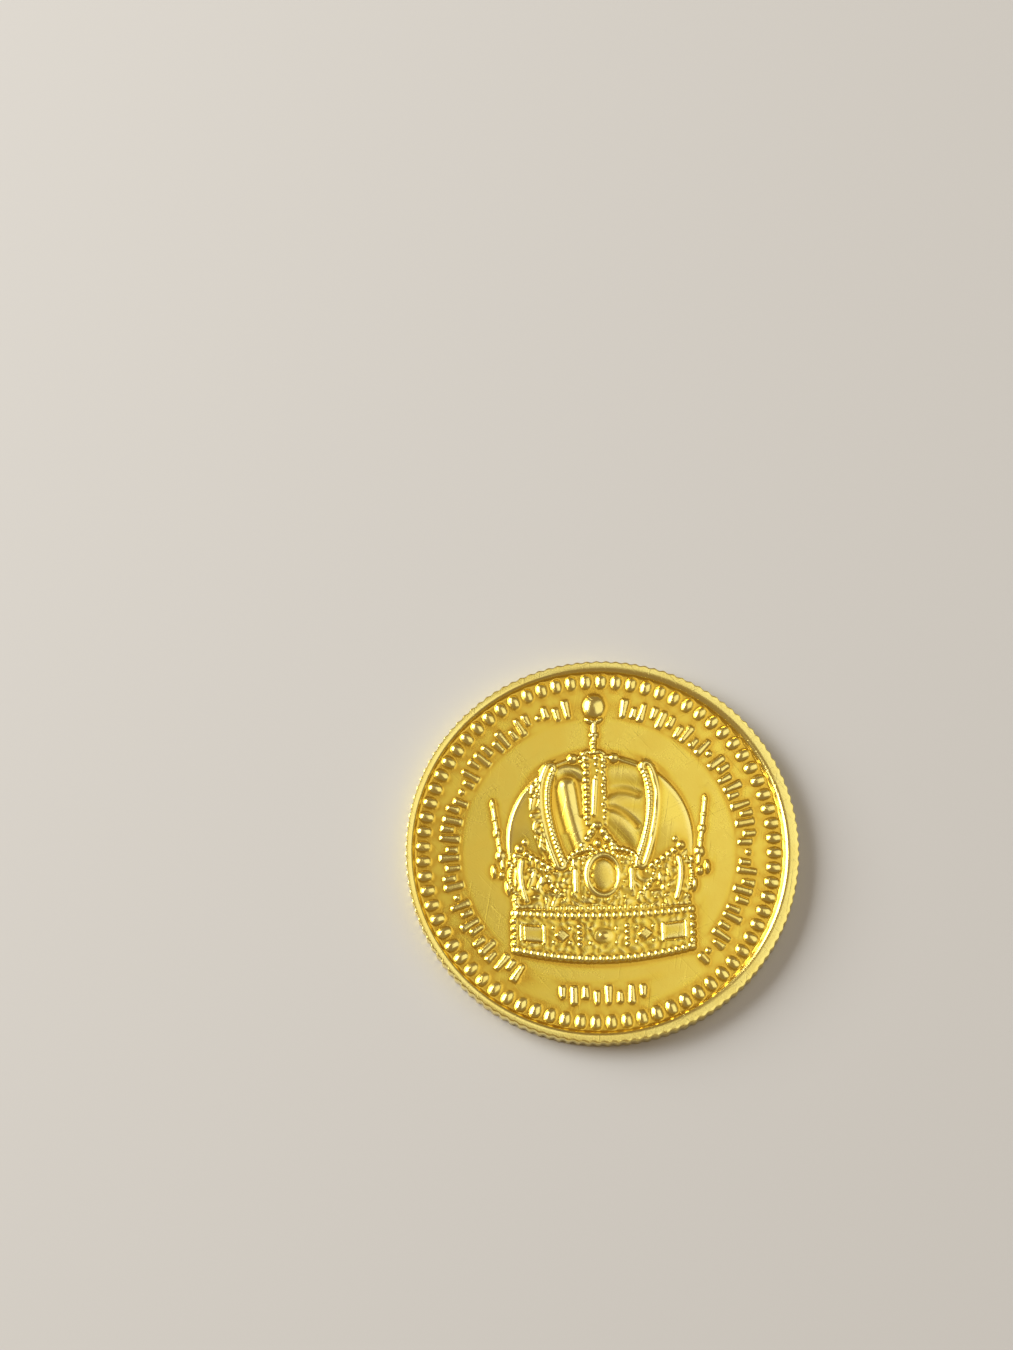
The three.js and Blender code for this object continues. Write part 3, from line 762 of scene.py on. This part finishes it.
def leaf(x, y, at, along, across, lean):
    """A dome drawn out towards its ends: share is |u / along|^1.6 + (v / across)^2, less a vein, which
    falls off as a bell curve on both sides of the middle line."""
    u, v = turned(x, y, math.radians(lean), at)
    share = np.abs(u / along) ** 1.6 + (v / across) ** 2
    cut = VEIN * np.exp(-((v / VEIN_HALF) ** 2)) * np.clip(1 - (u / along) ** 2, 0, 1)
    return round_top(share, BACK_LIFT) - cut * (share < 1)


def back_relief(x, y):
    """The ridge as a round top over the distance from its circle, then leaves and petals turned to
    their places, with a thin stem along each branch, the ribbon's loops, tails and knot, and a
    dimpled boss in the middle."""
    far = np.hypot(x, y)
    height = round_top(((far - LINE_RADIUS) / LINE_HALF) ** 2, LINE_LIFT)
    clock = np.degrees(np.abs(np.arctan2(-x, y)))
    stem = round_top(((far - WREATH_RADIUS) / BRANCH_HALF) ** 2, BRANCH_LIFT)
    height = np.where((clock > WREATH_FROM - 6) & (clock < WREATH_TO), over(height, stem), height)
    step = (WREATH_TO - WREATH_FROM) / (WREATH_LEAVES - 1)
    for side in (-1, 1):
        for place in range(WREATH_LEAVES):
            outward = 1 if place % 2 else -1
            u, v = turned(x, y, math.radians(side * (WREATH_FROM + place * step)))
            at = (0, WREATH_RADIUS + outward * WREATH_SPREAD)
            lean = side * -outward * WREATH_LEAN
            height = over(height, leaf(u, v, at, LEAF_ALONG, LEAF_ACROSS, lean))
    for petal in range(PETALS):
        u, v = turned(x, y, 2 * math.pi * (petal + 0.5) / PETALS)
        height = over(height, leaf(u, v, (PETAL_REACH, 0), PETAL_ALONG, PETAL_ACROSS, 0))
    for side in (-1, 1):
        loop = dome(x, y, (side * 0.55, -WREATH_RADIUS - 0.12), 0.5, 0.24, BACK_LIFT, side * -25)
        height = over(height, loop)
        tail = bar(x, y, (side * 0.1, -WREATH_RADIUS), (side * 0.6, -WREATH_RADIUS - 0.95), 0.13, 0.08)
        height = over(height, tail)
    height = over(height, dome(x, y, (0, -WREATH_RADIUS), 0.24, 0.26, 0.13))
    boss = dome(x, y, (0, 0), BOSS_RADIUS, BOSS_RADIUS, BOSS_LIFT)
    return over(height, boss - DIMPLE * np.exp(-((far / 0.2) ** 2)))


# ---------------------------------------------------------------------------------------------
# The coin itself, one struck piece of yellow gold alloy. Its surface is one closed run of rings from
# the middle of the front, over the rim, down the reeded edge and back to the middle of the back.
# ---------------------------------------------------------------------------------------------
FINE = 0.055          # distance between a ring's points on the crown and the strokes
PLAIN = 0.30          # the same on the empty field
BACK_FINE = 0.11
BACK_PLAIN = 0.66
RING_STEP = 0.05      # distance between rings in the middle of the front
STROKES_FROM = 7.0    # radii between which the rings carry the strokes
STROKES_TO = 8.4
STROKE_RING_STEP = 0.07
BEADS_FROM = 8.46     # and the beads
BEADS_TO = 9.38
BEAD_RING_STEP = 0.066
SLOPE_RADII = (9.39, 9.43, 9.48, 9.53, 9.62, 9.73)    # rings on the rim's inner side
BACK_SLOPE_RADII = (BACK_RIM, 9.51, 9.41, 9.31, BACK_FIELD, 9.16)
LINE_RING_STEP = 0.0625
BACK_RING_STEP = 0.12
BEAD_POINTS = 12      # points round the ring for each bead
REED_POINTS = 8
LINE_POINTS = 288     # points round each ring of the back's smooth ridge
STEEP_SHARE = 0.9     # share of the front rim's height that its steep side takes
FIELD_SEAM = 0.03     # how softly a rim's side meets the field


def front_spacing(x, y):
    """Fine spacing where the crown, the stone and the strokes are, a little past each of them, and
    plain spacing elsewhere."""
    far = np.hypot(x, y)
    clock = np.degrees(np.arctan2(x, y))
    on_cap = np.hypot((x - CAP_X) / (CAP_HALF + 0.1), np.maximum(y - CAP_SPRING, 0) / 4.75) < 1
    on_foot = (np.abs(x) < 4.95) & (y > -5.95) & (y < CAP_SPRING)
    on_spike = (np.abs(x) < 5.8) & (y > -2.3) & (y < 3.0) & (np.abs(x) > 4.5)
    on_stone = (np.abs(x) < 0.72) & (y > 4.5) & (y < 8.35)
    on_crown = (on_cap & (far < STROKES_FROM) & (y > CAP_SPRING)) | on_foot | on_spike | on_stone
    on_rows = (far > 7.02) & (((clock > -148) & (clock < -8.5)) | ((clock > 9) & (clock < 142)))
    on_line = (far > 6.9) & (y < -6.9) & (np.abs(x) < 2.5)
    return np.where(on_crown | on_rows | on_line, FINE, PLAIN)


def back_spacing(x, y):
    """Fine spacing on the wreath and the rosette, and plain spacing elsewhere."""
    far = np.hypot(x, y)
    return np.where((far < 2.6) | ((far > 4.7) & (far < 7.1)), BACK_FINE, BACK_PLAIN)


def spread_points(radius, spacing):
    """Angles of a ring's points: the running sum of radius / spacing round the ring, cut into equal
    shares."""
    turn = np.linspace(0, 2 * np.pi, 1441)
    rate = radius / spacing(radius * np.cos(turn), radius * np.sin(turn))
    total = np.concatenate([[0], np.cumsum((rate[1:] + rate[:-1]) / 2 * np.diff(turn))])
    count = max(6, round(total[-1]))
    return np.interp(np.arange(count) / count * total[-1], total, turn)


def even_points(count):
    """Angles that divide the full turn by count."""
    return np.arange(count) * 2 * np.pi / count


def stitch(first, turns, next_first, next_turns):
    """Triangles between two rings. The bits of both rings are taken in the order of their middles'
    angles, and each makes a triangle with the point that the other ring has reached."""
    middles = [(t + np.append(t[1:], t[0] + 2 * np.pi)) / 2 for t in (turns, next_turns)]
    order = np.argsort(np.concatenate(middles), kind="stable")
    on_first = order < len(turns)
    passed = np.cumsum(on_first) - on_first
    next_passed = np.cumsum(~on_first) - ~on_first
    here = first + passed % len(turns)
    there = next_first + next_passed % len(next_turns)
    tip = np.where(on_first, first + (passed + 1) % len(turns),
                   next_first + (next_passed + 1) % len(next_turns))
    return np.stack([here, there, tip], axis=1)


def front_height(x, y):
    """The field at 0, every detail laid over it, and the rim: nine tenths of its height are a quarter
    of a sine wave over its steep side, and one tenth is another over its whole width."""
    far = np.hypot(x, y)
    height = np.zeros_like(x)
    for detail in (beads, stroke_ring, foot_line, cap, borders, lilies, plate, gable, arch, cross,
                   stone, circlet):
        height = over(height, detail(x, y))
    steep = np.sin(np.pi / 2 * np.clip((far - FRONT_FIELD) / FRONT_SLOPE, -1, 1))
    whole = np.sin(np.pi / 2 * np.clip((far - FRONT_FIELD) / (FRONT_RIM - FRONT_FIELD), -1, 1))
    rim = FRONT_DROP * (STEEP_SHARE * steep + (1 - STEEP_SHARE) * whole)
    return np.minimum(over(height, rim, FIELD_SEAM), FRONT_DROP)


# rings from the front's middle to its rim, over the edge, and on to the middle of the back
front_radii = np.concatenate([
    np.arange(RING_STEP, STROKES_FROM + 0.01, RING_STEP),
    np.arange(STROKES_FROM + STROKE_RING_STEP, STROKES_TO, STROKE_RING_STEP),
])
front_rings = [(radius, spread_points(radius, front_spacing)) for radius in front_radii]
bead_turns = even_points(BEADS * BEAD_POINTS)
front_rings += [(radius, bead_turns) for radius in np.arange(BEADS_FROM, BEADS_TO, BEAD_RING_STEP)]
reed_turns = even_points(REEDS * REED_POINTS)
front_rings += [(radius, reed_turns) for radius in SLOPE_RADII]

# the rim's flat top, the rounded corners and the edge: share of the way from rim to outline, how far
# inside the outline, and height
edge_rings = (
    (0.5, 0, THICKNESS),
    (1, EDGE_ROUND, THICKNESS),
    (1, MIDDLE_ROUND, THICKNESS - MIDDLE_ROUND),
    (1, 0, THICKNESS - EDGE_ROUND),
    (1, 0, EDGE_ROUND),
    (1, MIDDLE_ROUND, MIDDLE_ROUND),
    (1, EDGE_ROUND, 0),
)

# the rim's side, the ridge line, the bare ring inside it, and the wreath with the rosette
back_radii = np.concatenate([
    BACK_SLOPE_RADII,
    np.arange(LINE_RADIUS + 0.25, LINE_RADIUS - 0.26, -LINE_RING_STEP),
    np.arange(8.3, 7.3, -0.3),
    np.arange(7.15, 0.05, -BACK_RING_STEP),
])
back_turns = [reed_turns[::2] if radius > LINE_RADIUS + 0.3 else
              even_points(LINE_POINTS) if radius > 8.4 else spread_points(radius, back_spacing)
              for radius in back_radii]


def flat_ring(radius, ring_turns, middle=(0.0, 0.0)):
    """Points of a level circle about a middle: middle + radius (cos turn, sin turn)."""
    return np.stack([middle[0] + radius * np.cos(ring_turns), middle[1] + radius * np.sin(ring_turns),
                     np.zeros(len(ring_turns))], axis=1)


places = [flat_ring(0, np.zeros(1), FRONT_SHIFT)]
turns = [np.zeros(1)]
for radius, ring_turns in front_rings:
    places.append(flat_ring(radius, ring_turns, FRONT_SHIFT))
    turns.append(ring_turns)
front_count = sum(len(ring) for ring in places)
rim_circle = places[-1][:, :2]
circle = np.stack([np.cos(reed_turns), np.sin(reed_turns)], axis=1)
for share, inset, level in edge_rings:
    reeded = circle * (outline(reed_turns) - inset)[:, None]
    flat = rim_circle * (1 - share) + reeded * share
    places.append(np.column_stack([flat, np.full(len(flat), level)]))
    turns.append(reed_turns)
edge_count = sum(len(ring) for ring in places)
for radius, ring_turns in zip(back_radii, back_turns):
    places.append(flat_ring(radius, ring_turns))
    turns.append(ring_turns)
places.append(np.zeros((1, 3)))
turns.append(np.zeros(1))
points = np.concatenate(places)

front = points[:front_count]
front[:, 2] = THICKNESS - FRONT_DROP + front_height(front[:, 0] - FRONT_SHIFT[0],
                                                    front[:, 1] - FRONT_SHIFT[1])
back = points[edge_count:]
back_far = np.hypot(back[:, 0], back[:, 1])
back_slope = BACK_DROP * np.clip((back_far - BACK_FIELD) / (BACK_RIM - BACK_FIELD), -1, 1)
back_height = over(over(np.zeros(len(back)), back_relief(back[:, 0], -back[:, 1])), back_slope, FIELD_SEAM)
back[:, 2] = np.maximum(BACK_DROP - back_height, 0)

firsts = np.concatenate([[0], np.cumsum([len(ring) for ring in turns])])
triangles = []
for k in range(len(turns) - 1):
    strip = stitch(firsts[k], turns[k], firsts[k + 1], turns[k + 1])
    ends = np.array([strip[:, 0] == strip[:, 2], strip[:, 1] == strip[:, 2]]).any(axis=0)
    triangles.append(strip[~ends])
triangles = np.concatenate(triangles).astype(np.int32)

coin_mesh = bpy.data.meshes.new("coin_piece")
coin_mesh.vertices.add(len(points))
coin_mesh.vertices.foreach_set("co", (points * METRES).astype(np.float32).ravel())
coin_mesh.loops.add(triangles.size)
coin_mesh.loops.foreach_set("vertex_index", triangles.ravel())
coin_mesh.polygons.add(len(triangles))
coin_mesh.polygons.foreach_set("loop_start", np.arange(0, triangles.size, 3, dtype=np.int32))
coin_mesh.update(calc_edges=True)
coin_mesh.validate()
coin_mesh.shade_smooth()
coin = bpy.data.objects.new("coin_piece", coin_mesh)
bpy.context.collection.objects.link(coin)

# How hollow each point lies: its neighbours' mean place, averaged again and again, less its own
# place, along its normal.
HOLLOW_ROUNDS = 12
HOLLOW_DEPTH = 0.02
edge_ends = np.empty(len(coin_mesh.edges) * 2, dtype=np.int32)
coin_mesh.edges.foreach_get("vertices", edge_ends)
edge_ends = edge_ends.reshape(-1, 2)
one_way = np.concatenate([edge_ends[:, 0], edge_ends[:, 1]])
other_way = np.concatenate([edge_ends[:, 1], edge_ends[:, 0]])
neighbours = np.bincount(one_way, minlength=len(points))
blurred = points.copy()
for _ in range(HOLLOW_ROUNDS):
    for axis in range(3):
        blurred[:, axis] = np.bincount(one_way, blurred[other_way, axis], len(points)) / neighbours
normals = np.empty(len(points) * 3, dtype=np.float32)
coin_mesh.vertex_normals.foreach_get("vector", normals)
hollow = ((blurred - points) * normals.reshape(-1, 3)).sum(axis=1) / HOLLOW_DEPTH
hollow_layer = coin_mesh.attributes.new("hollow", "FLOAT", "POINT")
hollow_layer.data.foreach_set("value", np.clip(0.5 + 0.5 * hollow, 0, 1).astype(np.float32))

# how hollow each point lies sets its gold and its polish: ridges get a paler gold as a painted highlight
# and are rubbed smoother, the plain metal stays as it is, and hollows get a darker, browner gold as
# painted shade
RIDGE_HIGHLIGHT_GOLD = (0.98, 0.82, 0.25, 1)
GOLD = (0.95, 0.73, 0.105, 1)
HOLLOW_SHADE_GOLD = (0.80, 0.50, 0.055, 1)
GOLD_STOPS = (0.22, 0.55, 0.9)    # places of those three on the run from ridge to hollow
WARM_GOLD = (0.93, 0.64, 0.085, 1)
WARM_SHARE = 0.5
FIELD_ROUGHNESS = 0.28
RIDGE_ROUGHNESS = 0.21
CLOUD_SCALE = 420
CLOUD_ROUGHNESS = 0.05    # how much rougher or smoother a cloudy patch is
GRAIN_SCALE = 14000
GRAIN_DEEP = 0.000006
SCRATCH_DEEP = 0.000004
SCRATCHES = ((25, 350), (-50, 420), (80, 300))    # turn in degrees and scale of the stretched noise
SCRATCH_LONG = 20
SCRATCH_AT = (0.66, 0.70)    # values of the noise between which a scratch's side lies

gold, gold_shader = plain_material("struck gold", GOLD, FIELD_ROUGHNESS)
gold_shader.inputs["Metallic"].default_value = 1.0
nodes = gold.node_tree.nodes
links = gold.node_tree.links


def add_node(kind, numbers, sources, **settings):
    """A new node of the gold material, with numbers in its sockets and the outputs that feed it."""
    node = nodes.new(kind)
    for name, value in settings.items():
        setattr(node, name, value)
    for socket, number in numbers.items():
        node.inputs[socket].default_value = number
    for socket, source in sources.items():
        links.new(source, node.inputs[socket])
    return node


def run_of(value, low, high, to_low=0.0, to_high=1.0):
    """The value's run from low to high as a run from to_low to to_high, held at both ends."""
    numbers = {"From Min": low, "From Max": high, "To Min": to_low, "To Max": to_high}
    return add_node("ShaderNodeMapRange", numbers, {"Value": value}).outputs["Result"]


def dents(height, deep, below, invert=False):
    """The normal of a surface with small dents of that height laid over the normal below."""
    numbers = {"Strength": 0.5, "Distance": deep}
    bump = add_node("ShaderNodeBump", numbers, {"Height": height}, invert=invert)
    if below:
        links.new(below, bump.inputs["Normal"])
    return bump.outputs["Normal"]


own_place = add_node("ShaderNodeTexCoord", {}, {}).outputs["Object"]
hollowness = add_node("ShaderNodeAttribute", {}, {}, attribute_name="hollow").outputs["Fac"]
# painted light and shade: this ramp makes ridges paler as a painted highlight and hollows darker and
# browner as painted shade
shade_and_highlight_ramp = add_node("ShaderNodeValToRGB", {}, {"Fac": hollowness})
shade_and_highlight_ramp.color_ramp.elements.new(GOLD_STOPS[1])
for stop, at, colour in zip(shade_and_highlight_ramp.color_ramp.elements, GOLD_STOPS, (RIDGE_HIGHLIGHT_GOLD, GOLD, HOLLOW_SHADE_GOLD)):
    stop.position = at
    stop.color = colour

# cloudy patches of satin: they change the roughness and, a little, the tone
cloud_numbers = {"Scale": CLOUD_SCALE, "Detail": 5, "Roughness": 0.6}
cloud = add_node("ShaderNodeTexNoise", cloud_numbers, {"Vector": own_place}).outputs["Fac"]
cloud_rough = run_of(cloud, 0.3, 0.7, FIELD_ROUGHNESS - CLOUD_ROUGHNESS, FIELD_ROUGHNESS + CLOUD_ROUGHNESS)
rubbed = run_of(hollowness, 0.1, 0.45, RIDGE_ROUGHNESS / FIELD_ROUGHNESS)
rough = add_node("ShaderNodeMath", {}, {0: cloud_rough, 1: rubbed}, operation="MULTIPLY")
links.new(rough.outputs["Value"], gold_shader.inputs["Roughness"])
warm = run_of(cloud, 0.45, 0.75, 0.0, WARM_SHARE)
patchy = add_node("ShaderNodeMix", {}, {}, data_type="RGBA")
patchy.inputs["B"].default_value = WARM_GOLD
links.new(warm, patchy.inputs["Factor"])
links.new(shade_and_highlight_ramp.outputs["Color"], patchy.inputs["A"])
links.new(patchy.outputs["Result"], gold_shader.inputs["Base Color"])

# the grain of the die, and hairline scratches: thin bands where a stretched noise is at its highest
grain = add_node("ShaderNodeTexNoise", {"Scale": GRAIN_SCALE, "Detail": 3}, {"Vector": own_place})
surface = dents(grain.outputs["Fac"], GRAIN_DEEP, None)
for turn_of_scratch, stretch in SCRATCHES:
    stretched = add_node("ShaderNodeMapping", {}, {"Vector": own_place}, vector_type="TEXTURE")
    stretched.inputs["Rotation"].default_value = (0, 0, math.radians(turn_of_scratch))
    stretched.inputs["Scale"].default_value = (1 / stretch, 1 / (stretch * SCRATCH_LONG), 1 / stretch)
    streak = add_node("ShaderNodeTexNoise", {"Scale": 1, "Detail": 1},
                      {"Vector": stretched.outputs["Vector"]})
    surface = dents(run_of(streak.outputs["Fac"], *SCRATCH_AT), SCRATCH_DEEP, surface, invert=True)
links.new(surface, gold_shader.inputs["Normal"])

coin_mesh.materials.append(gold)
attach(coin, "root")
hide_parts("coin")
